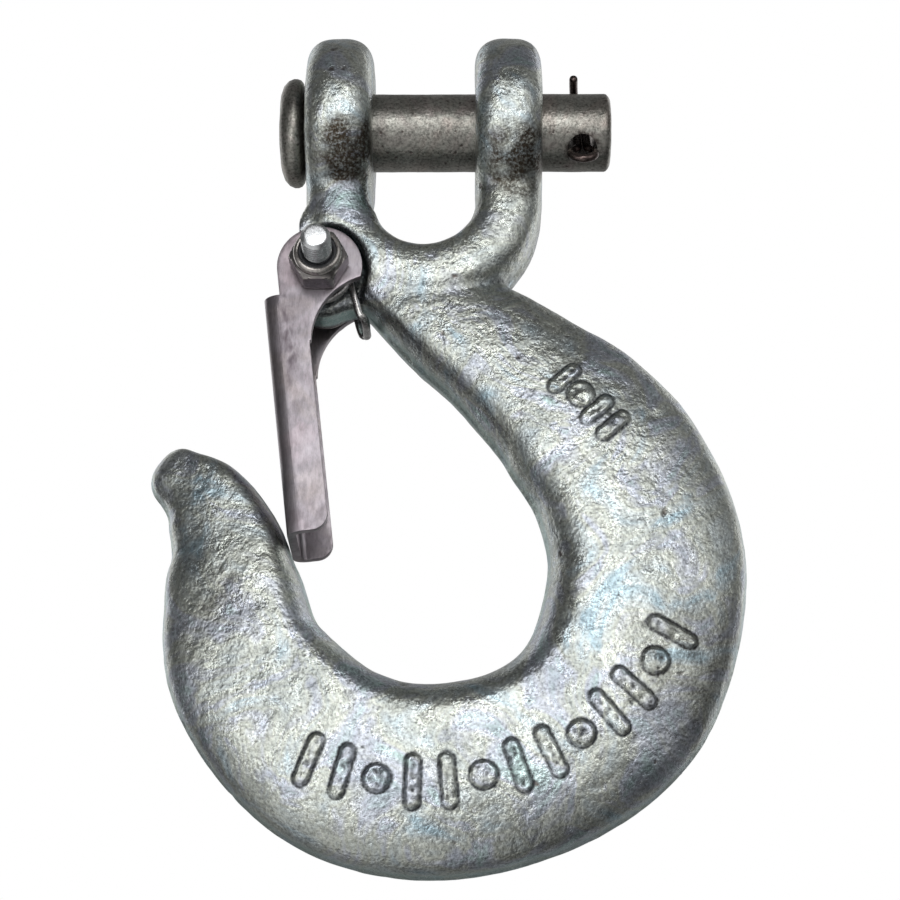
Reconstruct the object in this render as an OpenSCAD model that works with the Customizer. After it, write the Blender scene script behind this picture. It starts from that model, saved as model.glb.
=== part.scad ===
// Forged clevis slip hook with a spring safety latch, for a trailer safety chain.
// The hook hangs from its clevis: +Z is up, +X is to the right and the front faces -Y.
// The origin is on the clevis pin's axis, midway between the two ears.

/* [Clevis] */
// Diameter of the clevis pin
pin_d = 11; // [10.5:0.1:11.5]
// Clear width between the two ears
ear_gap = 14.4; // [13.6:0.2:15]
// Thickness of each ear along the pin
ear_w = 9.3; // [9:0.1:10]
// Outer radius of each ear's eye
eye_r = 13.25; // [12:0.25:13.5]
// Depth of the slot's round bottom below the pin's axis
slot_depth = 19; // [18:0.25:19.5]
// Thickness of the fork from front to back
fork_t = 15; // [14:0.25:15.5]
// Diameter of the clevis pin's head
pin_head_d = 15.5; // [14:0.25:16]
// Thickness of the clevis pin's head
pin_head_h = 3.3; // [2.5:0.1:3.4]
// Length of the clevis pin under its head
pin_len = 43.4; // [43:0.1:44]
// Diameter of the cotter's cross hole
cross_hole_d = 4.1; // [3.6:0.1:4.2]
// Slope of the cross hole below the horizontal, in degrees
cross_hole_tilt = 50; // [0:5:60]

/* [Latch] */
// Width of the latch over its two cheeks
latch_w = 14.8; // [14.4:0.1:15.2]
// Thickness of the latch's sheet
sheet_t = 1.2; // [1:0.1:1.4]
// Depth of the latch's channel, web included
channel_d = 5.6; // [5:0.2:6]
// Length of the latch below its pivot
latch_len = 37.2; // [36:0.2:37.6]
// Radius of the latch's round head
head_r = 5.8; // [5.4:0.1:6]
// Lean of the closed latch from the vertical, in degrees
latch_lean = 6.6; // [6.2:0.1:7]
// Thickness of the hook's lug between the spring's coils
lug_t = 6; // [5.6:0.1:6.2]

/* [Fasteners and spring] */
// Diameter of the latch bolt
bolt_d = 4; // [3.8:0.1:4.1]
// Length of the latch bolt under its head
bolt_len = 25; // [22:1:28]
// Size of the locknut across its flats
hex_af = 7; // [7:0.1:7.5]
// Height of the locknut
nut_h = 5; // [4.5:0.1:5.2]
// Diameter of the spring's wire
spring_d = 1.1; // [0.9:0.1:1.2]
// Mean radius of the spring's coils
coil_r = 3.9; // [3.7:0.1:4]
// Diameter of the cotter's wire
cotter_d = 1.2; // [1:0.1:1.3]

/* [Hidden] */
$fn = 64;

pivot = [-14.1, -23.7];         // latch pivot in the hook's plane, [x, z]
slot_r = ear_gap / 2;           // radius of the slot's round bottom
slot_z = slot_r - slot_depth;   // height of that radius's centre
pin_play = 0.1;                 // radial clearance round the clevis pin
pin_head_x = -(slot_r + ear_w) - 0.6;    // underside of the pin's head
cross_hole_x = pin_head_x + pin_len - 4.1;
latch_play = 0.05;              // radial clearance of the latch on its bolt
side_play = 0.25;               // clearance from the latch to the nut and the bolt's head
recess_r = 6.5;                 // radius of the recess that the latch's head turns in
lug_r = 5.3;
edge_r = 4;                     // rounding of the fork's edges
eye_edge_r = 3;                 // rounding of the rim of each ear's eye
boss = [-11.7, -17];            // centre of the boss over the latch, [x, z]
boss_r = 5.8;
web_v = -8;                     // outer face of the latch's web, from the pivot
bend_r = 2;                     // outer radius of the latch's two bends
step_u = 3.6;                   // where the web starts, below the pivot
notch_c = [11.5, 7.3];          // centre of the latch's curved notch, [along, across]
notch_r = 9.5;
insert_h = 1.4;                 // height of the nylon ring in the locknut
insert_r = 2.75;
bolt_head_r = 3.7;              // the bolt's round, slotted head
bolt_head_h = 2.4;
slot_w = 1;                     // width of the slot in the bolt's head

// The hook from its neck to its tip: [x, z, width in the hook's plane, thickness].
STATIONS = [
    [-6, -22.7, 10, 12], [3.2, -29.2, 15.4, 14.5], [9.3, -33.4, 17.8, 15],
    [15.3, -38.5, 20.4, 15.5], [21, -44, 23.4, 16], [27, -52.8, 25, 16.5],
    [29.8, -65.4, 26, 16.5], [25.4, -81, 25.8, 16.5], [15, -89.8, 24.8, 16.5],
    [0.5, -93, 24.8, 16.5], [-12.4, -89.2, 24.2, 16.5], [-22.4, -78.6, 21.4, 16],
    [-25.1, -67.8, 18, 15], [-26.2, -61.3, 14.8, 13.6], [-29.1, -55.2, 11.6, 12],
    [-32.7, -52, 8, 9.6]
];
RINGS_PER_SPAN = 4;
SECTION_SIDES = 20;
SECTION_POWER = 2.8;            // 2 is an ellipse, higher is squarer
TIP_RINGS = 4;
TIP_REACH = 3.6;                // how far the rounded tip runs past the last station

function unit(v) = v / norm(v);

// One point of a Catmull-Rom curve through a list of points of any length.
function clamped(list, i) = list[max(0, min(len(list) - 1, i))];
function curve_at(list, i, t) =
    let (a = clamped(list, i - 1), b = list[i], c = clamped(list, i + 1), d = clamped(list, i + 2))
    0.5 * (2 * b + (c - a) * t + (2 * a - 5 * b + 4 * c - d) * t * t
           + (3 * b - a - 3 * c + d) * t * t * t);
function smooth_curve(list, steps) = [
    for (i = [0 : len(list) - 2], k = [0 : steps - 1]) curve_at(list, i, k / steps),
    list[len(list) - 1]
];

// ---- the hook's bow, a rounded section swept along the stations ----
function signed_power(v, p) = sign(v) * pow(abs(v), p);
function heading(line, i) =
    let (a = clamped(line, i - 1), b = clamped(line, i + 1)) unit([b[0] - a[0], b[1] - a[1]]);
function ring(centre, dir, width, thick) = [
    for (k = [0 : SECTION_SIDES - 1])
        let (a = 360 * (k + 0.5) / SECTION_SIDES,
             across = width / 2 * signed_power(cos(a), 2 / SECTION_POWER),
             depth = thick / 2 * signed_power(sin(a), 2 / SECTION_POWER))
        [centre[0] - dir[1] * across, depth, centre[1] + dir[0] * across]
];
function skin_faces(rings, sides) = concat(
    [[for (k = [0 : sides - 1]) k]],
    [[for (k = [sides - 1 : -1 : 0]) (rings - 1) * sides + k]],
    [for (r = [0 : rings - 2], k = [0 : sides - 1])
        let (n = (k + 1) % sides)
        [r * sides + k, (r + 1) * sides + k, (r + 1) * sides + n, r * sides + n]]
);

function outward(faces) = [for (f = faces) [for (i = [len(f) - 1 : -1 : 0]) f[i]]];

module bow() {
    line = smooth_curve(STATIONS, RINGS_PER_SPAN);
    last = len(line) - 1;
    end_dir = heading(line, last);
    along = [for (i = [0 : last]) ring(line[i], heading(line, i), line[i][2], line[i][3])];
    tip = [
        for (k = [1 : TIP_RINGS])
            let (a = 84 * k / TIP_RINGS,
                 c = [line[last][0], line[last][1]] + end_dir * TIP_REACH * sin(a))
            ring(c, end_dir, line[last][2] * cos(a), line[last][3] * cos(a))
    ];
    rings = concat(along, tip);
    polyhedron(
        points = [for (r = rings) each r],
        faces = outward(skin_faces(len(rings), SECTION_SIDES)),
        convexity = 6
    );
}

// ---- wires, swept as tubes of a few sides along 3-D points ----
function tangent(p, i) = unit(clamped(p, i + 1) - clamped(p, i - 1));
// A vector square to the wire at each point, carried on from the one before it.
function side_vectors(p) = [
    for (i = 0, s = unit(cross(tangent(p, 0), [0.31, 0.87, 0.38])); i < len(p);
         i = i + 1, s = i < len(p) ? unit(s - (s * tangent(p, i)) * tangent(p, i)) : s) s
];

module wire(points, diameter, sides = 8) {
    across = side_vectors(points);
    rings = [
        for (i = [0 : len(points) - 1])
            let (s = across[i], c = cross(tangent(points, i), s))
            [for (k = [0 : sides - 1])
                points[i] + diameter / 2 * (cos(360 * k / sides) * s + sin(360 * k / sides) * c)]
    ];
    polyhedron(
        points = [for (r = rings) each r],
        faces = skin_faces(len(rings), sides),
        convexity = 10
    );
}

// ---- small helpers for placing shapes ----
module along_x() { rotate([0, 90, 0]) children(); }
module along_y(x = 0, z = 0) { translate([x, 0, z]) rotate([-90, 0, 0]) children(); }
module rounded_box_2d(w, h, r) {
    for (x = [r, w - r], y = [-h / 2 + r, h / 2 - r]) translate([x, y]) circle(r, $fn = 32);
    translate([r, -h / 2]) square([w - 2 * r, h]);
    translate([0, -h / 2 + r]) square([w, h - 2 * r]);
}

// ---- hook body ----
module ear_eye() {
    r = eye_edge_r;
    along_x() rotate_extrude() intersection() {
        translate([-eye_r, 0]) union() {
            translate([0, r]) square([2 * eye_r, ear_w - 2 * r]);
            translate([r, 0]) square([2 * eye_r - 2 * r, ear_w]);
            for (y = [r, ear_w - r]) translate([2 * eye_r - r, y]) circle(r, $fn = 32);
        }
        square([2 * eye_r, ear_w]);
    }
}

module fork() {
    for (side = [0, 1]) mirror([side, 0, 0]) {
        translate([slot_r, 0, 0]) ear_eye();
        translate([slot_r, 0, slot_z]) linear_extrude(-slot_z + 1)
            rounded_box_2d(ear_w, fork_t, edge_r);
    }
    translate([0, 0, slot_z]) rotate([-90, 0, 0]) rotate_extrude(angle = 180)
        translate([slot_r, 0]) rounded_box_2d(ear_w, fork_t, edge_r);
}

module latch_boss() {
    along_y(boss[0], boss[1]) cylinder(r = boss_r, h = fork_t - 1, center = true);
    along_y(pivot[0], pivot[1]) cylinder(r = lug_r, h = lug_t, center = true);
    along_y(-11, -23) cylinder(r = 5, h = lug_t, center = true);
}

module hook_body() {
    color("lightsteelblue") difference() {
        union() {
            fork();
            bow();
            latch_boss();
        }
        along_x() cylinder(d = pin_d + 2 * pin_play, h = 60, center = true);
        along_y(pivot[0], pivot[1]) cylinder(d = bolt_d + 0.2, h = 40, center = true);
        for (side = [-1, 1])
            translate([0, side * (lug_t / 2 + 10), 0])
                along_y(pivot[0], pivot[1]) cylinder(r = recess_r, h = 20, center = true);
    }
}

// ---- clevis pin ----
module clevis_pin() {
    chamfer = 0.8;
    color("dimgray") difference() {
        union() {
            translate([pin_head_x, 0, 0]) along_x()
                cylinder(d = pin_d, h = pin_len - chamfer);
            translate([pin_head_x + pin_len - chamfer, 0, 0]) along_x()
                cylinder(d1 = pin_d, d2 = pin_d - 2 * chamfer, h = chamfer);
            translate([pin_head_x - pin_head_h, 0, 0]) along_x()
                rotate_extrude() intersection() {
                    translate([-pin_head_d / 2, 0]) union() {
                        translate([0, 1.2]) square([pin_head_d, pin_head_h - 2.2]);
                        square([pin_head_d - 1.2, pin_head_h]);
                        translate([pin_head_d - 1.2, 1.2]) circle(1.2, $fn = 32);
                        translate([pin_head_d - 1, pin_head_h - 1]) circle(1, $fn = 32);
                    }
                    square([pin_head_d, pin_head_h]);
                }
        }
        translate([cross_hole_x, 0, 0]) rotate([cross_hole_tilt, 0, 0])
            along_y() cylinder(d = cross_hole_d, h = 30, center = true);
    }
}

// ---- cotter pin, one wire: up leg, round eye in front, down leg ----
// Points are [along the cross hole to the front, round the pin upwards, along the pin].
COTTER = [
    [-5.9, 5.8, -0.9], [-6.5, 4.6, -0.85], [-7.1, 3.1, -0.75], [-7.4, 1.7, -0.65],
    [-7, 0.5, -0.65], [-6.2, 0, -0.65], [0, 0, -0.65], [4.4, 0, -0.65], [5.5, 0, -0.8],
    [6.4, 0, -1.4], [7.3, 0, -1.65], [8.3, 0, -1.25], [8.9, 0, 0], [8.3, 0, 1.25],
    [7.3, 0, 1.65], [6.4, 0, 1.4], [5.5, 0, 0.8], [4.4, 0, 0.65], [0, 0, 0.65],
    [-6.2, 0, 0.65], [-7, -0.5, 0.65], [-7.4, -1.7, 0.65], [-7.1, -3.2, 0.7],
    [-6.4, -4.7, 0.8], [-5.4, -6.1, 0.9]
];
module cotter_pin() {
    c = cos(cross_hole_tilt);
    s = sin(cross_hole_tilt);
    points = [
        for (p = smooth_curve(COTTER, 3))
            [cross_hole_x + p[2], -c * p[0] - s * p[1], -s * p[0] + c * p[1]]
    ];
    color("saddlebrown") wire(points, cotter_d);
}

// ---- latch, a stamped channel with a round head on each cheek ----
// Drawn with x along the latch below the pivot and y across it, towards the bowl.
module place_latch() {
    translate([pivot[0], 0, pivot[1]]) rotate([0, 90 - latch_lean, 0]) children();
}

module cheek_2d() {
    corner_r = 2.2;
    inner_v = web_v + bend_r;
    outer_v = web_v + channel_d;
    difference() {
        union() {
            circle(head_r);
            polygon([[0, -head_r], [step_u, -head_r], [step_u, inner_v],
                     [latch_len, inner_v], [latch_len, outer_v - corner_r],
                     [latch_len - corner_r, outer_v - corner_r], [latch_len - corner_r, outer_v],
                     [10.8, outer_v], [5, 4.5], [0, 5]]);
            translate([latch_len - corner_r, outer_v - corner_r]) circle(corner_r, $fn = 32);
        }
        translate(notch_c) circle(notch_r);
        circle(r = bolt_d / 2 + latch_play);
    }
}

module channel_2d() {
    half = latch_w / 2;
    difference() {
        union() {
            translate([web_v, -half + bend_r]) square([bend_r, latch_w - 2 * bend_r]);
            for (y = [-1, 1]) translate([web_v + bend_r, y * (half - bend_r)])
                intersection() {
                    circle(bend_r, $fn = 32);
                    translate([-bend_r, y > 0 ? 0 : -bend_r]) square(bend_r);
                }
        }
        translate([web_v + sheet_t, -half + bend_r]) square([bend_r, latch_w - 2 * bend_r]);
        for (y = [-1, 1]) translate([web_v + bend_r, y * (half - bend_r)])
            circle(bend_r - sheet_t, $fn = 32);
    }
}

module latch() {
    color("thistle") place_latch() {
        // In this frame x runs down the latch, y to the back and z towards the bowl.
        for (side = [-1, 1])
            translate([0, side * (latch_w - sheet_t) / 2, 0]) rotate([90, 0, 0])
                translate([0, 0, -sheet_t / 2]) linear_extrude(sheet_t) cheek_2d();
        translate([step_u, 0, 0]) rotate([0, 90, 0]) mirror([1, 0, 0])
            linear_extrude(latch_len - step_u) channel_2d();
    }
}

// ---- bolt, locknut and its nylon ring ----
hex_r = hex_af / 2 / cos(30);
nut_y = -(latch_w / 2 + side_play);
module latch_bolt() {
    chamfer = 0.55;
    round_r = 1.6;
    color("gainsboro") translate([pivot[0], -nut_y, pivot[1]]) rotate([90, 0, 0]) {
        difference() {
            rotate_extrude() intersection() {
                translate([0, -bolt_head_h]) square([bolt_head_r, bolt_head_h]);
                union() {
                    translate([0, -bolt_head_h]) square([bolt_head_r - round_r, bolt_head_h]);
                    translate([0, round_r - bolt_head_h]) square([bolt_head_r, bolt_head_h]);
                    translate([bolt_head_r - round_r, round_r - bolt_head_h]) circle(round_r);
                }
            }
            translate([-bolt_head_r, -slot_w / 2, -bolt_head_h - 1])
                cube([2 * bolt_head_r, slot_w, 2.1]);
        }
        cylinder(d = bolt_d, h = bolt_len - chamfer);
        translate([0, 0, bolt_len - chamfer])
            cylinder(d1 = bolt_d, d2 = bolt_d - 2 * chamfer, h = chamfer);
    }
}

module latch_nut() {
    hex_h = 3.6;
    color("gray") translate([pivot[0], nut_y, pivot[1]]) rotate([90, 0, 0]) difference() {
        union() {
            cylinder(r = hex_r, h = hex_h, $fn = 6);
            cylinder(d = 6.6, h = nut_h);
        }
        translate([0, 0, -1]) cylinder(d = bolt_d, h = nut_h + 2);
        translate([0, 0, nut_h - insert_h]) cylinder(r = insert_r, h = nut_h);
    }
}

module nut_insert() {
    color("black") translate([pivot[0], nut_y - nut_h + insert_h, pivot[1]]) rotate([90, 0, 0])
        difference() {
            cylinder(r = insert_r, h = insert_h - 0.2);
            translate([0, 0, -1]) cylinder(d = bolt_d, h = nut_h);
        }
}

// ---- double torsion spring: a loop on the hook's shank, two coils and two legs on the latch ----
wire_gap = 0.1;                 // room between the wire and the lug or a cheek
coil_in = lug_t / 2 + wire_gap + spring_d / 2;
coil_out = latch_w / 2 - sheet_t - wire_gap - spring_d / 2;
COIL_START = 16;                // where the loop's wire meets the coil, in degrees
COIL_TURN = 522;                // how far each coil winds, in degrees
COIL_STEPS = 20;
module latch_spring() {
    start = [pivot[0] + coil_r * cos(COIL_START), pivot[1] + coil_r * sin(COIL_START)];
    // The loop's wire: its end on the shank, then up to the coil.
    loop_end = [-7.9, -30.2];
    loop_bend = [-8.9, -28.8];
    leg_angle = COIL_START + COIL_TURN;
    leg_start = pivot + coil_r * [cos(leg_angle), sin(leg_angle)];
    leg_dir = [-sin(leg_angle), cos(leg_angle)];
    half = concat(
        [[loop_end[0], 0, loop_end[1]],
         [loop_end[0], coil_in * 0.55, loop_end[1]],
         [loop_end[0] - 0.3, coil_in * 0.9, loop_end[1] + 0.5],
         [loop_bend[0], coil_in, loop_bend[1]]],
        [for (k = [0 : COIL_STEPS])
            let (a = COIL_START + COIL_TURN * k / COIL_STEPS)
            [pivot[0] + coil_r * cos(a), coil_in + (coil_out - coil_in) * k / COIL_STEPS,
             pivot[1] + coil_r * sin(a)]],
        [for (s = [3, 7, 11, 15]) [leg_start[0] + leg_dir[0] * s, coil_out, leg_start[1] + leg_dir[1] * s]]
    );
    points = concat(
        [for (i = [len(half) - 1 : -1 : 1]) [half[i][0], -half[i][1], half[i][2]]],
        half
    );
    color("silver") wire(points, spring_d);
}

hook_body();
clevis_pin();
cotter_pin();
latch();
latch_bolt();
latch_nut();
nut_insert();
latch_spring();
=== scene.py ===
# Forged clevis slip hook with a spring safety latch.
# Shapes are written in millimetres in the row's frame: the origin is on the clevis pin's axis,
# +Z is up and the front faces -Y. Every finished mesh is scaled to metres.

import math
import random

import bmesh
import bpy
import numpy as np
from mathutils import Matrix, Vector, noise


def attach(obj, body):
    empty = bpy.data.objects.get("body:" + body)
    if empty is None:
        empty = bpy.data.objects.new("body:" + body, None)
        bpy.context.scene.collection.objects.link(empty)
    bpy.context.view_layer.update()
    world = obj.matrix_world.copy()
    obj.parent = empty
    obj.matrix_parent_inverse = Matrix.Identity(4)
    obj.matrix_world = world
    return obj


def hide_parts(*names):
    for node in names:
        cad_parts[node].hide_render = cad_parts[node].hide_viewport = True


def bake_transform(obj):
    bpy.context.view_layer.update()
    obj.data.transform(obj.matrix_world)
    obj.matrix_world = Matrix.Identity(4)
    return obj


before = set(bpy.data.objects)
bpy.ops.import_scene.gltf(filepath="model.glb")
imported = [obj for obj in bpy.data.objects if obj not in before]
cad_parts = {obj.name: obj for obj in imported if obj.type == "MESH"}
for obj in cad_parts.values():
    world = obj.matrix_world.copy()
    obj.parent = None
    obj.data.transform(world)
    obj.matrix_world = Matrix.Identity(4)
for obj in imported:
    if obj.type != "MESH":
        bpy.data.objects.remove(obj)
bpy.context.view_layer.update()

MM = 0.001
PIVOT = np.array([-14.1, 0.0, -23.7])  # the latch's bolt, in the hook's plane
LATCH_LEAN = math.radians(6.6)  # lean of the closed latch from the vertical
EAR_GAP = 14.4
EAR_W = 9.3
EYE_R = 13.25
FORK_T = 15.0
SADDLE_Z = -11.8  # centre of the slot's round bottom
PIN_R = 5.5
PIN_BORE_R = 5.6
HOLE_X = 22.2  # where the cotter's hole crosses the pin
HOLE_R = 2.05
HOLE_TILT = math.radians(50)
CHEEK_Y = 7.4  # outer face of the latch's cheeks
SHEET = 1.2
LATCH_HEAD_R = 5.8
RECESS_R = 6.5  # the hook's recess that the latch's head turns in
LUG_R = 5.3
LUG_HALF = 3  # half thickness of the lug between the spring's coils
BOLT_R = 2
BOLT_LEN = 25.0
NUT_Y = -7.65
BOLT_REAR_Y = 7.65


# ---- mesh helpers ----
def link(name, mesh):
    """A mesh's object, in the scene."""
    obj = bpy.data.objects.new(name, mesh)
    bpy.context.scene.collection.objects.link(obj)
    return obj


def build(name, points, faces):
    """A mesh object at the origin, in millimetres, with its faces turned outwards."""
    mesh = bpy.data.meshes.new(name)
    mesh.from_pydata(np.asarray(points, float).tolist(), [], faces)
    obj = link(name, mesh)
    clean(obj)
    return obj


def clean(obj, merge=1e-4):
    """Merges points that coincide and turns the faces outwards."""
    bm = bmesh.new()
    bm.from_mesh(obj.data)
    bmesh.ops.remove_doubles(bm, verts=bm.verts, dist=merge)
    bmesh.ops.recalc_face_normals(bm, faces=bm.faces)
    bm.to_mesh(obj.data)
    bm.free()
    obj.data.update()


def band(rows, cols, closed=False):
    """Quads of a grid that closes across its columns, and along its rows if closed."""
    faces = []
    for r in range(rows if closed else rows - 1):
        below, above = r * cols, (r + 1) % rows * cols
        for c in range(cols):
            d = (c + 1) % cols
            faces.append((below + c, below + d, above + d, above + c))
    return faces


def loft(name, rings):
    """A closed solid through rings of equal length."""
    rings = np.asarray(rings, float)
    rows, cols = rings.shape[:2]
    first = tuple(range(cols))
    last = tuple((rows - 1) * cols + c for c in range(cols))
    return build(name, rings.reshape(-1, 3), band(rows, cols) + [first, last])


def lathe(name, profile, place, sides=64, closed=False, radius=None):
    """Turns a profile of (radius, height) pairs. place() puts a local point in the row's frame."""
    rings = []
    for r, h in profile:
        ring = []
        for k in range(sides):
            a = 2 * math.pi * k / sides
            rr = radius(r, h, a) if radius else r
            ring.append(place(rr * math.cos(a), rr * math.sin(a), h))
        rings.append(ring)
    if not closed:
        return loft(name, rings)
    flat = np.asarray(rings, float).reshape(-1, 3)
    return build(name, flat, band(len(rings), sides, closed=True))


def smooth_line(points, steps):
    """Points of a Catmull-Rom curve through the given points, ends included."""
    p = np.asarray(points, float)
    p = np.vstack([p[:1], p, p[-1:]])
    line = []
    for i in range(1, len(p) - 2):
        a, b, c, d = p[i - 1 : i + 3]
        for t in np.arange(steps) / steps:
            line.append(
                0.5 * (2 * b + (c - a) * t + (2 * a - 5 * b + 4 * c - d) * t**2
                       + (3 * b - a - 3 * c + d) * t**3)
            )
    return np.array(line + [p[-1]])


def tube(name, points, radius, sides=14, round_ends=True):
    """A round wire along points."""
    p = np.asarray(points, float)
    tangents = np.gradient(p, axis=0)
    tangents /= np.linalg.norm(tangents, axis=1)[:, None]
    across = np.cross(tangents[0], (0.31, 0.87, 0.38))
    rings = []
    for centre, along in zip(p, tangents):
        across = across - across.dot(along) * along
        across /= np.linalg.norm(across)
        rings.append((centre, across.copy(), np.cross(along, across), radius))
    if round_ends:
        first, last = rings[0], rings[-1]
        for a in (25, 50, 72):
            reach = radius * math.sin(math.radians(a)) * 0.8
            size = radius * math.cos(math.radians(a))
            rings.insert(0, (first[0] - tangents[0] * reach, first[1], first[2], size))
            rings.append((last[0] + tangents[-1] * reach, last[1], last[2], size))
    turn = 2 * np.pi * np.arange(sides)[:, None] / sides
    return loft(name, [c + r * (np.cos(turn) * s + np.sin(turn) * t) for c, s, t, r in rings])


def modify(obj, kind, **settings):
    """Adds one modifier and applies it."""
    modifier = obj.modifiers.new(kind.title(), kind)
    for key, value in settings.items():
        setattr(modifier, key, value)
    graph = bpy.context.evaluated_depsgraph_get()
    made = bpy.data.meshes.new_from_object(obj.evaluated_get(graph))
    obj.modifiers.clear()
    old, obj.data = obj.data, made
    bpy.data.meshes.remove(old)
    made.name = obj.name
    return obj


def cut(obj, cutter):
    modify(obj, "BOOLEAN", object=cutter, operation="DIFFERENCE", solver="EXACT")
    bpy.data.objects.remove(cutter)


def join(name, parts):
    """One object out of several, which are removed."""
    bm = bmesh.new()
    for part in parts:
        bm.from_mesh(part.data)
        bpy.data.objects.remove(part)
    mesh = bpy.data.meshes.new(name)
    bm.to_mesh(mesh)
    bm.free()
    return link(name, mesh)


def get_points(mesh):
    co = np.empty(len(mesh.vertices) * 3, np.float32)
    mesh.vertices.foreach_get("co", co)
    return co.reshape(-1, 3).astype(float)


def get_normals(mesh):
    normals = np.empty(len(mesh.vertices) * 3, np.float32)
    mesh.vertex_normals.foreach_get("vector", normals)
    return normals.reshape(-1, 3).astype(float)


def set_points(mesh, co):
    mesh.vertices.foreach_set("co", co.astype(np.float32).ravel())
    mesh.update()


def set_mask(mesh, name, values):
    """Stores one number per point, which a material reads by name."""
    attribute = mesh.attributes.new(name, "FLOAT", "POINT")
    attribute.data.foreach_set("value", np.clip(values, 0, 1).astype(np.float32))


def curvature(mesh, passes=2):
    """How hollow (positive) or sharp (negative) the skin is at each point, in 1/mm."""
    co, normals = get_points(mesh), get_normals(mesh)
    ends = np.empty(len(mesh.edges) * 2, np.int32)
    mesh.edges.foreach_get("vertices", ends)
    a, b = ends.reshape(-1, 2).T
    count = np.bincount(np.concatenate([a, b]), minlength=len(co))[:, None]

    def spread(values):
        total = np.zeros_like(values)
        np.add.at(total, a, values[b])
        np.add.at(total, b, values[a])
        return total / np.maximum(count, 1)

    edge = np.linalg.norm(co[a] - co[b], axis=1)[:, None]
    size = np.zeros((len(co), 1))
    np.add.at(size, a, edge)
    np.add.at(size, b, edge)
    size /= np.maximum(count, 1)
    bend = ((spread(co) - co) * normals).sum(1, keepdims=True) * 4 / np.maximum(size, 1e-3) ** 2
    for _ in range(passes):
        bend = 0.5 * bend + 0.5 * spread(bend)
    return bend[:, 0]


def ripple(co, size, seed=0.0):
    """Smooth noise from -1 to 1 with bumps of about that size."""
    shift = Vector((seed, 2 * seed, 3 * seed))
    return np.array([noise.noise(Vector(p) / size + shift) for p in co])


def near(co, centre, radius):
    """1 at the centre, falling to 0 at the radius."""
    away = np.linalg.norm(co - np.array(centre), axis=1) / radius
    return np.clip(1 - away, 0, 1) ** 0.7


def finished(obj, body, material, replaces, sharp=38):
    """Scales a mesh to metres, shades it, and fixes it to its CAD body."""
    obj.data.transform(Matrix.Scale(MM, 4))
    obj.data.shade_smooth()
    obj.data.set_sharp_from_angle(angle=math.radians(sharp))
    obj.data.materials.clear()
    obj.data.materials.append(material)
    if body:
        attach(obj, body)
    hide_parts(replaces)


# Ways to place a turned shape: its own height runs along +X, or towards the front.
def along_x(x, y, h):
    return (h, x, y)


def at_pivot(start_y):
    """Height runs to the front from y = start_y, on the latch's pivot."""
    return lambda x, y, h: (PIVOT[0] + x, start_y - h, PIVOT[2] + y)


# ---- procedural metals ----
def put(tree, kind, settings=None, inputs=None):
    """A node with its settings and inputs. An input is a constant, or a node or socket to link."""
    made = tree.nodes.new(kind)
    for key, value in (settings or {}).items():
        setattr(made, key, value)
    for key, value in (inputs or {}).items():
        socket = made.inputs[key]
        if isinstance(value, bpy.types.Node):
            tree.links.new(value.outputs[0], socket)
        elif isinstance(value, bpy.types.NodeSocket):
            tree.links.new(value, socket)
        else:
            socket.default_value = value
    return made


def colour(rgb):
    return (*rgb, 1.0)


def ramp(tree, source, stops):
    """A colour ramp. Stops are (position, colour or grey)."""
    made = put(tree, "ShaderNodeValToRGB", None, {"Fac": source})
    elements = made.color_ramp.elements
    while len(elements) > 1:
        elements.remove(elements[-1])
    for n, (position, value) in enumerate(stops):
        stop = elements[0] if n == 0 else elements.new(position)
        stop.position = position
        stop.color = colour(value if isinstance(value, tuple) else (value,) * 3)
    return made


def grain_noise(tree, where, size, detail=2.0, rough=0.5, twist=0.0):
    inputs = {"Vector": where, "Scale": 1000 / size, "Detail": detail,
              "Roughness": rough, "Distortion": twist}
    return put(tree, "ShaderNodeTexNoise", None, inputs).outputs["Fac"]


def mix(tree, factor, first, second, blend="MIX"):
    inputs = {"Fac": factor, "Color1": first, "Color2": second}
    return put(tree, "ShaderNodeMixRGB", {"blend_type": blend}, inputs)


def maths(tree, operation, *values):
    return put(tree, "ShaderNodeMath", {"operation": operation}, dict(enumerate(values)))


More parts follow.
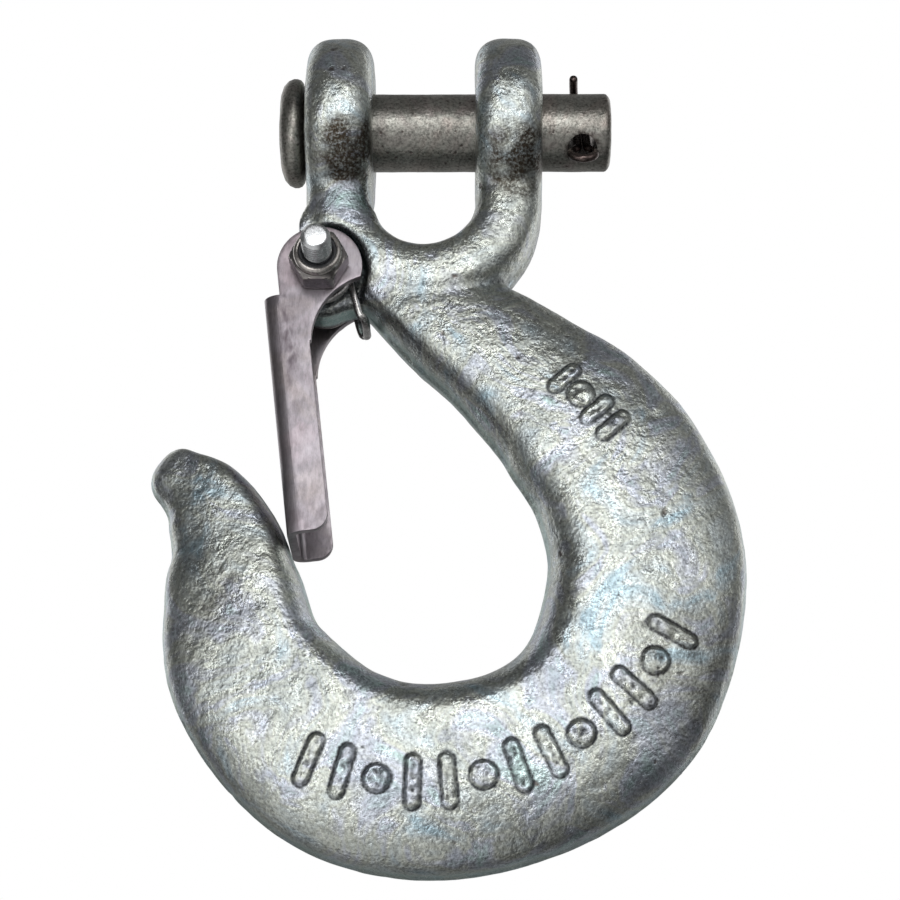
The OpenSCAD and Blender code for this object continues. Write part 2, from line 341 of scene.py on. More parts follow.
def metal(name, dark, light, rough, grain, depth, sheen=(), masks=(), pits=None, metallic=1.0,
          stretch=(1, 1, 1), specks=0.35):
    """A worn metal skin.

    dark and light are its two broad tones, rough its (least, most) roughness, grain the size of
    its finest grain in mm, and depth the depth of that grain in mm. sheen lists faint tints that
    drift over it. masks lists (point mask, colour, added roughness). pits is (size in mm, share
    of the skin from 0 to 1, colour). stretch scales the grain along X, Y and Z, and specks is the
    tone of the darkest grains.
    """
    material = bpy.data.materials.new(name)
    material.use_nodes = True
    tree = material.node_tree
    skin = tree.nodes["Principled BSDF"]
    place = put(tree, "ShaderNodeTexCoord").outputs["Object"]
    where = put(tree, "ShaderNodeMapping", None, {"Vector": place, "Scale": stretch})

    broad = grain_noise(tree, place, 7, 4, 0.65)
    tone = ramp(tree, broad, [(0.32, dark), (0.68, light)])
    if sheen:
        drift = grain_noise(tree, place, 11, 3, 0.6, 1.5)
        steps = [(0.3 + 0.4 * n / (len(sheen) - 1), tint) for n, tint in enumerate(sheen)]
        tone = mix(tree, 0.75, tone, ramp(tree, drift, steps), "MULTIPLY")
    fine = grain_noise(tree, where, grain, 3, 0.65)
    flecks = ramp(tree, fine, [(0.30, specks), (0.45, 0.5 + specks / 2), (0.6, 1.0)])
    tone = mix(tree, 0.85, tone, flecks, "MULTIPLY")
    patchy = grain_noise(tree, place, grain * 6, 3, 0.6)
    roughness = put(tree, "ShaderNodeMapRange", None,
                    {"Value": patchy, "From Min": 0.3, "From Max": 0.7,
                     "To Min": rough[0], "To Max": rough[1]})
    height = fine
    if pits:
        size, share, stain = pits
        wobble = put(tree, "ShaderNodeTexNoise", None, {"Vector": place, "Scale": 1400 / size})
        shaken = put(tree, "ShaderNodeVectorMath", {"operation": "MULTIPLY_ADD"},
                     {0: wobble.outputs["Color"], 1: (size * 0.0007,) * 3, 2: place})
        cells = put(tree, "ShaderNodeTexVoronoi", None,
                    {"Vector": shaken.outputs["Vector"], "Scale": 1000 / size})
        chosen = ramp(tree, cells.outputs["Color"], [(1 - share, 0.0), (1.02 - share, 1.0)])
        core = ramp(tree, cells.outputs["Distance"], [(0.12, 0.9), (0.34, 0.0)])
        spot = maths(tree, "MULTIPLY", chosen, core)
        tone = mix(tree, spot, tone, colour(stain))
        height = maths(tree, "SUBTRACT", fine, spot)
    for mask, tint, added in masks:
        value = put(tree, "ShaderNodeAttribute", {"attribute_name": mask}).outputs["Fac"]
        uneven = maths(tree, "MULTIPLY", value, ramp(tree, fine, [(0.45, 1.0), (0.68, 0.5)]))
        tone = mix(tree, uneven, tone, colour(tint))
        roughness = maths(tree, "ADD", roughness, maths(tree, "MULTIPLY", uneven, added))
    swell = grain_noise(tree, where, grain * 3, 2, 0.5)
    soft = put(tree, "ShaderNodeBump", None,
               {"Height": swell, "Strength": 0.5, "Distance": depth * 3 * MM})
    bump = put(tree, "ShaderNodeBump", None,
               {"Height": height, "Strength": 0.9, "Distance": depth * MM, "Normal": soft})
    tree.links.new(tone.outputs[0], skin.inputs["Base Color"])
    tree.links.new(roughness.outputs[0], skin.inputs["Roughness"])
    tree.links.new(bump.outputs[0], skin.inputs["Normal"])
    skin.inputs["Metallic"].default_value = metallic
    return material


# Its hollow mask paints shade with some dirt into creases and the recess, its edge mask paints a
# greenish reflection on the rims, and its stain mask is rust and dark ear patches.
FORGED = metal(
    "forged_zinc", (0.45, 0.50, 0.53), (0.71, 0.77, 0.785), (0.20, 0.36), 0.38, 0.11,
    sheen=[(0.74, 0.92, 1.0), (1.0, 1.0, 0.96), (1.0, 0.94, 0.78), (0.94, 0.9, 1.0),
           (0.80, 0.98, 0.92)],
    masks=[("edge", (0.33, 0.48, 0.46), 0.1), ("hollow", (0.07, 0.075, 0.08), 0.15),
           ("stain", (0.05, 0.04, 0.03), 0.05)],
    pits=(1.7, 0.12, (0.12, 0.10, 0.09)),
)
# The pin's hollow mask paints shade into its hollows and the gap at its head.
PIN = metal(
    "pin_steel", (0.27, 0.25, 0.24), (0.44, 0.41, 0.395), (0.30, 0.46), 0.36, 0.05,
    sheen=[(1.0, 0.90, 0.88), (0.92, 1.0, 0.92), (1.0, 0.93, 0.85)],
    masks=[("hollow", (0.06, 0.05, 0.045), 0.2)],
    pits=(0.9, 0.3, (0.07, 0.055, 0.05)), specks=0.25,
)
# The cotter's very dark brown is partly its own dark steel and partly painted shade, for the shadow of
# the cross hole it sits in.
SHADED_COTTER = metal("cotter_steel", (0.09, 0.07, 0.065), (0.17, 0.13, 0.12), (0.22, 0.34), 0.35, 0.02)
LATCH = metal(
    "latch_zinc", (0.31, 0.28, 0.295), (0.39, 0.36, 0.375), (0.34, 0.46), 0.45, 0.008,
    sheen=[(1.0, 0.92, 0.96), (0.95, 0.96, 1.0), (1.0, 0.97, 0.93)],
    masks=[("scuff", (0.20, 0.17, 0.19), 0.2)],
    stretch=(1.0, 1.0, 0.35), specks=0.65,
)
BOLT = metal("bolt_zinc", (0.60, 0.62, 0.64), (0.80, 0.81, 0.82), (0.20, 0.32), 0.3, 0.006,
             specks=0.7)
NUT = metal(
    "nut_steel", (0.13, 0.12, 0.13), (0.26, 0.24, 0.26), (0.16, 0.28), 0.4, 0.010,
    masks=[("wear", (0.52, 0.49, 0.46), 0.05)],
)
NYLON = metal("black_nylon", (0.012, 0.012, 0.014), (0.02, 0.02, 0.024), (0.4, 0.55), 0.3, 0.02,
              metallic=0.0)
SPRING = metal("spring_steel", (0.36, 0.35, 0.34), (0.56, 0.55, 0.54), (0.2, 0.32), 0.3, 0.01)


# ---- hook body: a forging, with a fork and a bow that flow into each other ----
# The bow from its neck to its tip: x, z, width in the hook's plane, thickness.
STATIONS = [
    (-6, -22.7, 10, 12), (3.2, -29.2, 15.4, 14.5), (9.3, -33.4, 17.8, 15),
    (15.3, -38.5, 20.4, 15.5), (21, -44, 23.4, 16), (27, -52.8, 25, 16.5),
    (29.8, -65.4, 26, 16.5), (25.4, -81, 25.8, 16.5), (15, -89.8, 24.8, 16.5),
    (0.5, -93, 24.8, 16.5), (-12.4, -89.2, 24.2, 16.5), (-22.4, -78.6, 21.4, 16),
    (-25.1, -67.8, 18, 15), (-26.2, -61.3, 14.8, 13.6), (-29.1, -55.2, 11.6, 12),
    (-32.7, -52, 8, 9.6),
]
CREST = -0.6  # the thickest line of the bow, as a share of its half width, towards the bowl
INNER_POWER = 2.2  # the bowl's side is a round bevel
OUTER_POWER = 2.8  # the wide face is flatter
FORK_POWER = 3.2
TIP_REACH = 3.6  # how far the rounded tip runs past the last station


def squared(value, power):
    """A sine or cosine of a superellipse. A power of 2 is an ellipse, higher is squarer."""
    return math.copysign(abs(value) ** (2 / power), value)


def bow_ring(centre, heading, width, thickness, sides=64):
    ring = []
    for k in range(sides):
        a = 2 * math.pi * (k + 0.5) / sides
        c, s = math.cos(a), math.sin(a)
        power = OUTER_POWER if c > 0 else INNER_POWER
        reach = 1 - CREST if c > 0 else 1 + CREST
        across = CREST + reach * squared(c, power)
        depth = squared(s, power)
        across *= width / 2
        ring.append((centre[0] - heading[1] * across, depth * thickness / 2,
                     centre[1] + heading[0] * across))
    return ring


def make_bow():
    line = smooth_line(STATIONS, 10)
    headings = np.gradient(line[:, :2], axis=0)
    headings /= np.linalg.norm(headings, axis=1)[:, None]
    rings = [bow_ring(p[:2], h, p[2], p[3]) for p, h in zip(line, headings)]
    end, heading = line[-1], headings[-1]
    for k in range(1, 9):
        a = math.radians(84 * k / 8)
        centre = end[:2] + heading * TIP_REACH * math.sin(a)
        rings.append(bow_ring(centre, heading, end[2] * math.cos(a), end[3] * math.cos(a)))
    return loft("bow", rings)


def make_fork():
    """The two ears' legs and the saddle between them, as one rounded bar bent to a U."""
    radius = EAR_GAP / 2 + EAR_W / 2
    path = [((radius, z), (1, 0)) for z in (1, -4, -8)]
    for a in range(0, 181, 6):
        c, s = math.cos(math.radians(a)), math.sin(math.radians(a))
        path.append(((radius * c, SADDLE_Z - radius * s), (c, -s)))
    path += [((-radius, z), (-1, 0)) for z in (-8, -4, 1)]
    rings = []
    for centre, out in path:
        ring = []
        for k in range(40):
            a = 2 * math.pi * (k + 0.5) / 40
            c, s = math.cos(a), math.sin(a)
            across = squared(c, FORK_POWER) * EAR_W / 2
            depth = squared(s, FORK_POWER) * FORK_T / 2
            ring.append((centre[0] + out[0] * across, depth, centre[1] + out[1] * across))
        rings.append(ring)
    return loft("fork", rings)


def make_eye(side):
    """A round ear boss with a well rounded rim."""
    inner, outer, r = EAR_GAP / 2, EAR_GAP / 2 + EAR_W, 3.4
    profile = [(0, inner)]
    for start, centre in ((-90, inner + r), (0, outer - r)):
        for a in range(start, start + 91, 15):
            profile.append((EYE_R - r + r * math.cos(math.radians(a)),
                            centre + r * math.sin(math.radians(a))))
    profile.append((0, outer))
    return lathe("eye", [(r, side * x) for r, x in profile], along_x, sides=96)


def disc(name, x, z, radius, half_y):
    """A cylinder along Y, for a boss or a cutter."""
    profile = [(0, -half_y), (radius, -half_y), (radius, half_y), (0, half_y)]
    return lathe(name, profile, lambda u, v, h: (x + u, -h, z + v), sides=72)


# Plain raised bars and dots in place of the forging's lettering, on an arc and in a short row.
ARC_CENTRE = np.array([0.0, -58.0])
ARC_R = 36.4
ARC_START = -113  # degrees
ARC_STEP = 7.1
ROW_START = np.array([18.9, -40.2])
ROW_ALONG = np.array([0.68, -0.73])
ROW_ACROSS = np.array([0.73, 0.68])
ROW_STEP = 3.1
BAR_HALF = 0.5  # half width of a bar
DOT_R = 1.3


def raised_marks():
    """Each mark as (one end, other end, half width), in the hook's plane."""
    marks = []
    for n in range(13):
        a = math.radians(ARC_START + ARC_STEP * n)
        out = np.array([math.cos(a), math.sin(a)])
        centre = ARC_CENTRE + ARC_R * out
        if n % 3 == 2:
            marks.append((centre, centre, DOT_R))
        else:
            marks.append((centre - 2.5 * out, centre + 2.5 * out, BAR_HALF))
    for n, (half, width) in enumerate(((1.7, BAR_HALF), (0, DOT_R), (1.7, BAR_HALF), (1.7, BAR_HALF))):
        centre = ROW_START + ROW_ALONG * ROW_STEP * n
        marks.append((centre - ROW_ACROSS * half, centre + ROW_ACROSS * half, width))
    return marks


def mark_height(co, soft=0.7):
    """1 on a raised mark, 0 off it, with sloping sides."""
    flat = co[:, [0, 2]]
    height = np.zeros(len(co))
    for start, end, half in raised_marks():
        span = end - start
        t = np.clip((flat - start) @ span / max(span @ span, 1e-9), 0, 1)
        away = np.linalg.norm(flat - start - t[:, None] * span, axis=1)
        height = np.maximum(height, np.clip(1 - (away - half) / soft, 0, 1))
    return height * height * (3 - 2 * height)


def refine_near_marks(obj):
    """Splits the skin's faces three ways where the raised marks are."""
    bm = bmesh.new()
    bm.from_mesh(obj.data)
    bm.verts.ensure_lookup_table()
    co = np.array([v.co for v in bm.verts])
    hit = (mark_height(co, 1.6) > 0.0) & (co[:, 1] < -4)
    edges = [e for e in bm.edges if hit[e.verts[0].index] and hit[e.verts[1].index]]
    bmesh.ops.subdivide_edges(bm, edges=edges, cuts=2, use_grid_fill=True)
    bm.to_mesh(obj.data)
    bm.free()


def forge_skin(obj):
    """Gives the smooth shape the uneven skin of a forging, with pits and raised marks."""
    co, normals = get_points(obj.data), get_normals(obj.data)
    calm = np.clip(near(co, PIVOT, 12) * 1.5, 0, 1)  # no bumps where the latch turns
    lift = 0.10 * ripple(co, 8.0, 3.0) + 0.05 * ripple(co, 3.0, 7.0) + 0.03 * ripple(co, 1.3, 11.0)
    lift *= 1 - 0.8 * calm
    front = np.clip(-normals[:, 1] * 2 - 0.6, 0, 1)
    lift += 0.5 * mark_height(co) * front * (0.8 + 0.4 * ripple(co, 1.0, 31.0))
    # The seam where the two forging dies met, trimmed to a low ridge round the outline.
    seam = np.exp(-((co[:, 1] / 0.6) ** 2)) * np.clip(1 - 3 * np.abs(normals[:, 1]), 0, 1)
    lift += 0.3 * seam * (1 - calm) * (co[:, 2] < -18)
    dice = random.Random(12)
    for _ in range(90):
        centre = co[dice.randrange(len(co))]
        size = dice.uniform(0.5, 1.2)
        away = np.linalg.norm(co - centre, axis=1) / size
        lift -= dice.uniform(0.06, 0.2) * np.exp(-2.5 * away**2) * (1 - calm)
    set_points(obj.data, co + normals * lift[:, None])


def mask_hook(mesh):
    """Masks for painted shade with some dirt in the hollows and the recess, for rust and darker
    patches on the ears' fronts, and for a painted greenish reflection on the rims near the seam.
    """
    co = get_points(mesh)
    # hollow is painted shade with some dirt: darker where the skin curves inwards, as at the raised
    # marks' feet, and darkest on the floor of the latch's recess.
    bend = curvature(mesh)
    on_recess_floor = np.abs(np.abs(co[:, 1]) - LUG_HALF) < 1.2
    away = np.linalg.norm((co - PIVOT)[:, [0, 2]], axis=1)
    recess_shade_and_dirt = 0.85 * (away < 6.9) * on_recess_floor
    set_mask(mesh, "hollow", np.maximum((bend - 0.15) * 0.9, recess_shade_and_dirt))
    # Dark brown patches on the front of each ear, low beside the pin; the rust patches are on the bow.
    ear_dark_patch = near(co, (13.4, -9.5, -8.5), 6) + near(co, (-10.2, -10, -8), 6)
    rust = 0.3 * near(co, (-26, -7, -71), 5) + 0.3 * near(co, (36, -5, -80), 12)
    blotch = 0.8 + 0.9 * ripple(co, 2.2, 21.0)
    set_mask(mesh, "stain", (ear_dark_patch + rust) * blotch * 2)
    # Painted reflection: faces turned sideways, near the mid-plane of the bow, take a darker
    # green-grey, like a dim greenish reflection on the rims.
    side = np.clip(1 - 2.2 * np.abs(get_normals(mesh)[:, 1]), 0, 1)
    set_mask(mesh, "edge", side * np.clip(1.4 - np.abs(co[:, 1]) / 2.5, 0, 1) * (co[:, 2] < -25))


def make_hook():
    """The forging: bow, fork, eyes and lug as one skin, with its bores cut last."""
    boss = [disc("boss", -11.7, -17, 5.6, FORK_T / 2 - 1.8),
            disc("lug", PIVOT[0], PIVOT[2], LUG_R, LUG_HALF),
            disc("web", -11, -23, 5, LUG_HALF)]
    hook = join("hook_body", [make_bow(), make_fork(), make_eye(1), make_eye(-1), *boss])
    modify(hook, "REMESH", mode="VOXEL", voxel_size=0.5)
    for side in (-1, 1):
        recess = disc("recess", PIVOT[0], PIVOT[2], RECESS_R, 10)
        recess.data.transform(Matrix.Translation((0, side * (LUG_HALF + 10), 0)))
        cut(hook, recess)
    modify(hook, "REMESH", mode="VOXEL", voxel_size=0.45)
    modify(hook, "SMOOTH", factor=0.5, iterations=7)
    refine_near_marks(hook)
    forge_skin(hook)
    bore = [(0, -30), (PIN_BORE_R, -30), (PIN_BORE_R, 30), (0, 30)]
    cut(hook, lathe("bore", bore, along_x, sides=96))
    cut(hook, disc("bolt_bore", PIVOT[0], PIVOT[2], BOLT_R + 0.1, 20))
    mask_hook(hook.data)
    return hook


finished(make_hook(), "hook", FORGED, "hook_body")


# ---- clevis pin, with its forged head and the cotter's cross hole ----
def make_clevis_pin():
    head = [(0, -20.5), (3.5, -20.45), (5.6, -20.25), (6.7, -19.85), (7.4, -19.2), (7.7, -18.5),
            (7.7, -18.0), (7.5, -17.5), (7.1, -17.2), (6.5, -17.1), (5.9, -17.0), (5.6, -16.8)]
    shank = [(PIN_R, x) for x in np.arange(-16.5, 25.6, 0.6)]
    end = [(5.42, 25.75), (5.1, 26.05), (4.7, 26.25), (4.3, 26.3), (0, 26.3)]
    pin = lathe("clevis_pin", head + shank + end, along_x, sides=96)
    hole = lathe("hole", [(0, -12), (HOLE_R, -12), (HOLE_R, 12), (0, 12)],
                 lambda x, y, h: (x, -h, y), sides=48)
    hole.data.transform(Matrix.Translation((HOLE_X, 0, 0)) @ Matrix.Rotation(HOLE_TILT, 4, "X"))
    cut(pin, hole)
    modify(pin, "BEVEL", width=0.22, segments=2, limit_method="ANGLE", angle_limit=0.8)
    mesh = pin.data
    co, normals = get_points(mesh), get_normals(mesh)
    in_ears = (np.abs(co[:, 0]) > 6.5) & (np.abs(co[:, 0]) < 17)
    lift = 0.05 * ripple(co, 5.0, 5.0) + 0.03 * ripple(co, 1.6, 9.0)
    set_points(mesh, co + normals * (lift * np.where(in_ears, 0.3, 1.0))[:, None])
    # Painted shade: darker at the front of the head's inner face, in the gap where the head meets the
    # ear, and in the skin's hollows.
    set_mask(mesh, "hollow", near(co, (-16.9, -6.3, 0), 3.5) * 0.5 + curvature(mesh) * 0.8)
    return pin


finished(make_clevis_pin(), "clevis_pin", PIN, "clevis_pin")


# ---- cotter pin: up leg, round eye in front, down leg ----
# Points are along the cross hole to the front, round the pin upwards, and along the pin.
COTTER_LINE = [
    (-5.9, 5.8, -0.9), (-6.5, 4.6, -0.85), (-7.1, 3.1, -0.75), (-7.4, 1.7, -0.65),
    (-7, 0.5, -0.65), (-6.2, 0, -0.65), (0, 0, -0.65), (4.4, 0, -0.65), (5.5, 0, -0.8),
    (6.4, 0, -1.4), (7.3, 0, -1.65), (8.3, 0, -1.25), (8.9, 0, 0), (8.3, 0, 1.25),
    (7.3, 0, 1.65), (6.4, 0, 1.4), (5.5, 0, 0.8), (4.4, 0, 0.65), (0, 0, 0.65),
    (-6.2, 0, 0.65), (-7, -0.5, 0.65), (-7.4, -1.7, 0.65), (-7.1, -3.2, 0.7),
    (-6.4, -4.7, 0.8), (-5.4, -6.1, 0.9),
]


def make_cotter():
    c, s = math.cos(HOLE_TILT), math.sin(HOLE_TILT)
    points = [(HOLE_X + p[2], -c * p[0] - s * p[1], -s * p[0] + c * p[1])
              for p in smooth_line(COTTER_LINE, 6)]
    return tube("cotter_pin", points, 0.6, sides=16)


finished(make_cotter(), "clevis_pin", SHADED_COTTER, "cotter_pin")


# ---- latch: a stamped channel of thin sheet with a round head on each cheek ----
# Drawn as (u down the latch, v across it towards the bowl, y to the back).
LATCH_LEN = 37.2  # from the bolt's centre to the end of the web
STEP_U = 3.6  # where the channel's web starts
BEND_V = -6.0  # where the cheeks start to bend into the web
BEND_R = 2.0


def latch_point(u, v, y):
    """A point of the latch, in the part's frame."""
    a = math.pi / 2 - LATCH_LEAN
    return (PIVOT[0] + u * math.cos(a) + v * math.sin(a), y,
            PIVOT[2] - u * math.sin(a) + v * math.cos(a))


def arc(centre, radius, start, stop, steps):
    return [(centre[0] + radius * math.cos(math.radians(a)),
             centre[1] + radius * math.sin(math.radians(a)))
            for a in np.linspace(start, stop, steps)]


def cheek_outline():
    """A cheek's edge: the channel's corner, its straight side, the notch and the round head."""
    line = [(STEP_U, BEND_V), (LATCH_LEN, BEND_V)]
    line += arc((35.0, -4.6), 2.2, 0, 90, 9)
    line += [(22.0, -2.4), (10.8, -2.4)]
    line += arc((11.5, 7.3), 9.5, 264.6, 191.7, 19)
    line += arc((0, 0), LATCH_HEAD_R, 68.5, 270, 43)
    line += [(STEP_U, -LATCH_HEAD_R)]
    return line


def make_cheek(side):
    """One flat cheek, open along the edge where it bends into the web."""
    outline, hole = cheek_outline(), arc((0, 0), 2.05, 0, 350, 36)
    bm = bmesh.new()
    layers = []
    for y in (CHEEK_Y, CHEEK_Y - SHEET):
        loops = [[bm.verts.new(latch_point(u, v, side * y)) for u, v in loop]
                 for loop in (outline, hole)]
        edges = [bm.edges.new((loop[i - 1], loop[i])) for loop in loops for i in range(len(loop))]
        bmesh.ops.triangle_fill(bm, use_beauty=True, edges=edges)
        layers.append(loops)
    for outer, inner in zip(*layers):
        for i in range(len(outer)):
            if outer is layers[0][0] and i == 1:
                continue
            bm.faces.new((outer[i - 1], outer[i], inner[i], inner[i - 1]))
    mesh = bpy.data.meshes.new("cheek")
    bm.to_mesh(mesh)
    bm.free()
    return link("cheek", mesh)


def make_web():
    """The web and its two bends, whose open ends meet the cheeks."""
    def profile(radius):
        half = []
        for a in range(0, 91, 9):
            s, c = math.sin(math.radians(a)), math.cos(math.radians(a))
            half.append((BEND_V - radius * s, -(CHEEK_Y - BEND_R) - radius * c))
        return half + [(v, -y) for v, y in reversed(half)]

    outer, inner = profile(BEND_R), profile(BEND_R - SHEET)
    points = [latch_point(u, v, y) for u in (STEP_U, LATCH_LEN) for v, y in outer + inner]
    n = len(outer)
    faces = []
    for i in range(n - 1):
        faces.append((i, i + 1, 2 * n + i + 1, 2 * n + i))
        faces.append((n + i, n + i + 1, 3 * n + i + 1, 3 * n + i))
        faces.append((i, i + 1, n + i + 1, n + i))
        faces.append((2 * n + i, 2 * n + i + 1, 3 * n + i + 1, 3 * n + i))
    return build("web", points, faces)


def make_latch():
    latch = join("latch", [make_cheek(-1), make_cheek(1), make_web()])
    clean(latch, 1e-3)
    modify(latch, "BEVEL", width=0.16, segments=3, limit_method="ANGLE", angle_limit=0.8)
    modify(latch, "TRIANGULATE")
    bm = bmesh.new()
    bm.from_mesh(latch.data)
    for size in (4.0, 2.0, 1.2, 0.8):
        long_edges = [e for e in bm.edges if e.calc_length() > size]
        bmesh.ops.subdivide_edges(bm, edges=long_edges, cuts=1)
        bmesh.ops.triangulate(bm, faces=[f for f in bm.faces if len(f.verts) > 4])
    bm.to_mesh(latch.data)
    bm.free()
    mesh = latch.data
    co = get_points(mesh)
    down = np.array(latch_point(1, 0, 0)) - PIVOT
    across = np.array(latch_point(0, 1, 0)) - PIVOT
    u, v = (co - PIVOT) @ down, (co - PIVOT) @ across
    along_bend = np.clip(1 - np.abs(v + 5.4) / 1.6, 0, 1) * np.clip(1 - np.abs(u - 11) / 12, 0, 1)
    tail = np.clip((u - 30) / 7, 0, 1)
    worn = np.clip(0.45 + ripple(co * (1, 1, 1.8), 1.0, 4.0) * 2.2, 0, 1)
    set_mask(mesh, "scuff", (along_bend * 1.6 + tail * 0.4) * worn)
    return latch


finished(make_latch(), "latch", LATCH, "latch")


# ---- latch bolt, with a slotted head behind and a rolled thread in front ----
THREAD_START = 12
THREAD_PITCH = 0.7
THREAD_DEPTH = 0.14


def make_bolt():
    place = at_pivot(BOLT_REAR_Y)
    head = [(0, -2.4)] + [(2.1 + 1.6 * math.sin(math.radians(a)),
                           -0.8 - 1.6 * math.cos(math.radians(a))) for a in range(0, 91, 15)]
    head = lathe("head", head + [(3.7, -0.1), (3.6, 0), (0, 0)], place, sides=64)
    slot = build("slot", [place(x, y, h) for x in (-5, 5) for y in (-0.5, 0.5) for h in (-4, -1.3)],
                 [(0, 1, 3, 2), (4, 6, 7, 5), (0, 4, 5, 1), (2, 3, 7, 6), (0, 2, 6, 4), (1, 5, 7, 3)])
    cut(head, slot)

    def thread(r, h, a):
        if h < THREAD_START or r < 1.4:
            return r
        turn = (h / THREAD_PITCH - a / (2 * math.pi)) % 1
        depth = THREAD_DEPTH * (0.5 + 0.5 * math.cos(2 * math.pi * turn))
        return min(r - depth, 1.5 + (BOLT_LEN - h) * 0.9)

    rows = [(0, -0.5), (BOLT_R, -0.5), (BOLT_R, 6), (BOLT_R, 11.5)]
    rows += [(BOLT_R, h) for h in np.arange(THREAD_START, BOLT_LEN, THREAD_PITCH / 9)]
    rows += [(1.45, BOLT_LEN), (1.2, BOLT_LEN + 0.02), (0, BOLT_LEN + 0.02)]
    shank = lathe("shank", rows, place, sides=48, radius=thread)
    return join("latch_bolt", [head, shank])


finished(make_bolt(), "hook", BOLT, "latch_bolt", sharp=50)


# ---- locknut: a chamfered hexagon with a round collar rolled over a nylon ring ----
def hexagon(r, _, a):
    """A radius cut back to a hexagon of 7 mm across flats."""
    side = math.radians(math.degrees(a) % 60 - 30)
    return min(r, 3.5 / math.cos(side))


def make_nut():
    profile = [(2.0, 0.3), (2.3, 0), (3.55, 0), (3.8, 0.14), (4.03, 0.35), (4.1, 0.6), (4.1, 2.9),
               (4.0, 3.1), (3.85, 3.3), (3.62, 3.5), (3.42, 3.6), (3.3, 3.75), (3.27, 4.1),
               (3.25, 4.5), (3.15, 4.75), (2.98, 4.93), (2.8, 5.0), (2.64, 4.96), (2.58, 4.82),
               (2.58, 3.62), (2.0, 3.6)]
    nut = lathe("latch_nut", profile, at_pivot(NUT_Y), sides=96, closed=True, radius=hexagon)
    co = get_points(nut.data)
    sharpness = np.clip(-curvature(nut.data, 1) * 0.35 - 0.15, 0, 1)
    collar = np.clip((-co[:, 1] - 11.1) * 2, 0, 0.7)
    set_mask(nut.data, "wear", sharpness + collar)
    return nut


finished(make_nut(), "hook", NUT, "latch_nut", sharp=28)

RING = [(1.97, 3.65), (2.56, 3.65), (2.56, 4.72), (2.42, 4.8), (2.2, 4.76), (2.04, 4.6),
        (1.97, 4.4)]
finished(lathe("nut_insert", RING, at_pivot(NUT_Y), sides=64, closed=True),
         "hook", NYLON, "nut_insert", sharp=60)


# ---- double torsion spring: its loop rests on the shank, and its legs push the latch ----
COIL_R = 3.9
COIL_IN = 3.65  # the coil runs along the bolt from here
COIL_OUT = 5.55  # to here
COIL_START = 16  # degrees
COIL_TURN = 522
COIL_STEPS = 80
WIRE_R = 0.55


def spring_half(side):
    """Half of the spring, from the middle of its loop to the end of one leg."""
    bend = [(-7.9, 0, -30.2), (-7.9, 1.0, -30.2), (-7.9, COIL_IN * 0.55, -30.2),
            (-8.2, COIL_IN * 0.9, -29.7), (-8.9, COIL_IN, -28.8)]
    start = math.radians(COIL_START)
    joint = (PIVOT[0] + COIL_R * math.cos(start), COIL_IN, PIVOT[2] + COIL_R * math.sin(start))
    lead = list(smooth_line(bend + [joint], 6))[:-1]
    coil = []
    for k in range(COIL_STEPS + 1):
        a = math.radians(COIL_START + COIL_TURN * k / COIL_STEPS)
        coil.append((PIVOT[0] + COIL_R * math.cos(a), COIL_IN + (COIL_OUT - COIL_IN) * k / COIL_STEPS,
                     PIVOT[2] + COIL_R * math.sin(a)))
    end = math.radians(COIL_START + COIL_TURN)
    leg = [(coil[-1][0] - math.sin(end) * s, COIL_OUT, coil[-1][2] + math.cos(end) * s)
           for s in (1.5, 3, 7, 11, 15)]
    line = np.array(lead + coil + leg)
    line[:, 1] *= side
    return line


for side, name in ((-1, "latch_spring_front"), (1, "latch_spring_rear")):
    half = tube(name, spring_half(side), WIRE_R, sides=12, round_ends=False)
    finished(half, None, SPRING, "latch_spring")
    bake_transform(half)


# ---- stage: pale floor, soft light, camera ----
FLOOR_Z = -170
FLOOR_HALF = 3000


def make_stage():
    material = bpy.data.materials.new("pale_floor")
    material.use_nodes = True
    skin = material.node_tree.nodes["Principled BSDF"]
    skin.inputs["Base Color"].default_value = (0.9, 0.9, 0.9, 1)
    skin.inputs["Emission Color"].default_value = (1, 1, 1, 1)
    skin.inputs["Emission Strength"].default_value = 0.6
    skin.inputs["Roughness"].default_value = 0.9
    corners = ((-1, -1), (1, -1), (1, 1), (-1, 1))
    points = [(x * FLOOR_HALF, y * FLOOR_HALF, FLOOR_Z) for x, y in corners]
    floor = build("floor", points, [(0, 1, 2, 3)])
    floor.data.transform(Matrix.Scale(MM, 4))
    floor.data.materials.append(material)
    floor.visible_glossy = False
    floor.visible_shadow = False


MIDDLE = Vector((0.0036, 0, -0.0477))  # what the camera and the lights face, in metres


def towards(azimuth, elevation):
    """A direction. Azimuth 0 points to the front and 90 to the right."""
    a, e = math.radians(azimuth), math.radians(elevation)
    return Vector((math.sin(a) * math.cos(e), -math.cos(a) * math.cos(e), math.sin(e)))


def softbox(name, azimuth, elevation, distance, width, height, brightness, glossy=True):
    """A soft rectangular light that faces the hook, in metres. Brightness is its radiance."""
    light = bpy.data.lights.new(name, "AREA")
    light.shape = "RECTANGLE"
    light.size, light.size_y = width, height
    light.energy = brightness * math.pi * width * height
    obj = bpy.data.objects.new(name, light)
    bpy.context.scene.collection.objects.link(obj)
    direction = towards(azimuth, elevation)
    obj.location = MIDDLE + direction * distance
    obj.rotation_mode = "QUATERNION"
    obj.rotation_quaternion = direction.to_track_quat("Z", "Y")
    obj.visible_camera = False
    obj.visible_glossy = glossy


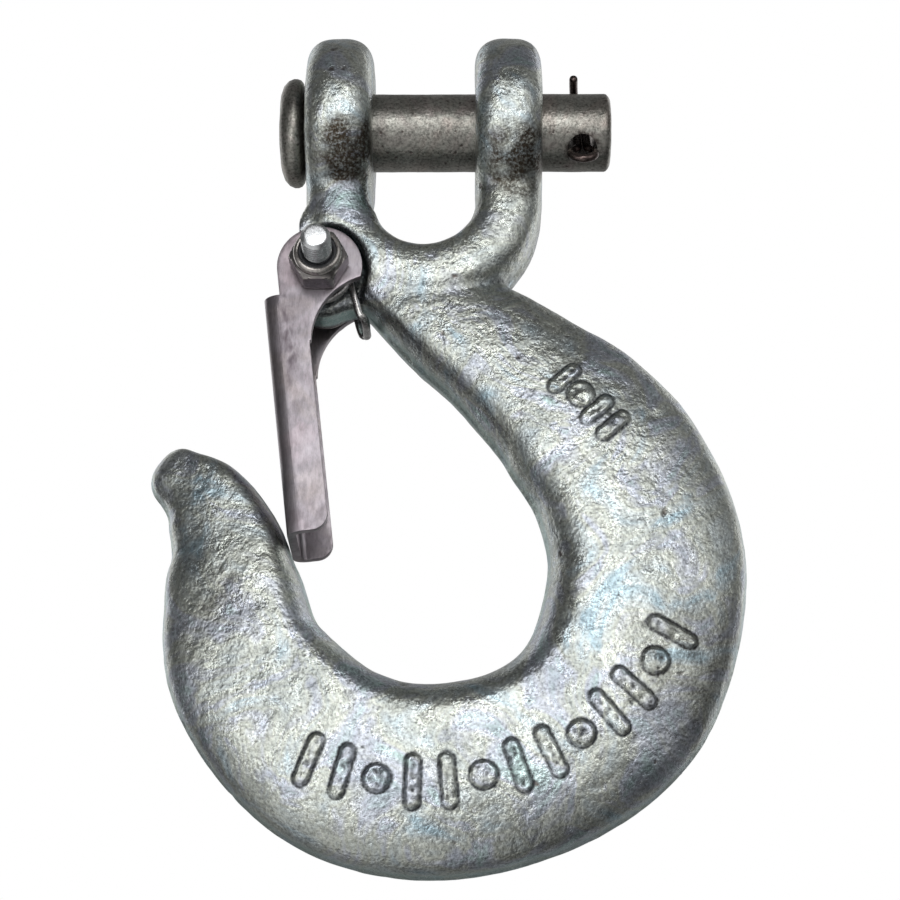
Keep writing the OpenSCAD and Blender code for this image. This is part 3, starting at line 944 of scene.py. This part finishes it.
def make_world():
    """White to the camera. The metal mirrors a dark room that is lighter above, behind, to the
    right and low on the left."""
    world = bpy.data.worlds.new("studio")
    bpy.context.scene.world = world
    world.use_nodes = True
    tree = world.node_tree
    tree.nodes.clear()
    way = put(tree, "ShaderNodeTexCoord").outputs["Generated"]
    split = put(tree, "ShaderNodeSeparateXYZ", None, {"Vector": way})
    parts = [
        ramp(tree, maths(tree, "MULTIPLY_ADD", split.outputs["Z"], 0.5, 0.5),
             [(0.42, 0.015), (0.60, 0.10), (0.9, 0.17)]),
        ramp(tree, split.outputs["Y"], [(0.3, 0.0), (0.9, 0.28)]),
        ramp(tree, split.outputs["X"], [(0.3, 0.0), (1.0, 0.16)]),
    ]
    low_left = put(tree, "ShaderNodeVectorMath", {"operation": "DOT_PRODUCT"},
                   {0: way, 1: (-0.48, -0.48, -0.73)})
    parts.append(ramp(tree, low_left.outputs["Value"], [(0.45, 0.0), (0.9, 0.65)]))
    light = parts[0]
    for part in parts[1:]:
        light = mix(tree, 1.0, light, part, "ADD")
    seen = put(tree, "ShaderNodeBackground", None, {"Color": (1, 1, 1, 1), "Strength": 1.0})
    room = put(tree, "ShaderNodeBackground", None, {"Color": light, "Strength": 1.0})
    path = put(tree, "ShaderNodeLightPath")
    both = put(tree, "ShaderNodeMixShader", None,
               {0: path.outputs["Is Camera Ray"], 1: room, 2: seen})
    put(tree, "ShaderNodeOutputWorld", None, {"Surface": both})


def make_camera():
    data = bpy.data.cameras.new("camera")
    data.lens, data.sensor_width = 90, 36
    data.clip_start, data.clip_end = 0.01, 20
    camera = bpy.data.objects.new("camera", data)
    bpy.context.scene.collection.objects.link(camera)
    back = towards(0.3, -19)
    camera.location = MIDDLE + back * 0.305
    camera.rotation_mode = "QUATERNION"
    camera.rotation_quaternion = (-back).to_track_quat("-Z", "Y")
    bpy.context.scene.camera = camera


make_stage()
make_world()
softbox("key", 2, 12, 0.9, 0.44, 0.42, 3.9)
softbox("low_key", -25, -14, 0.9, 0.5, 0.45, 2.1)
softbox("right", 38, 4, 1.1, 0.9, 1.0, 0.75)
softbox("top", 0, 85, 1.0, 1.4, 1.4, 2.0, glossy=False)
softbox("back_left", -140, 25, 1.0, 0.5, 1.0, 0.8)
softbox("back_right", 140, 20, 1.0, 0.5, 1.0, 0.8)
make_camera()
bpy.context.scene.view_settings.view_transform = "Standard"
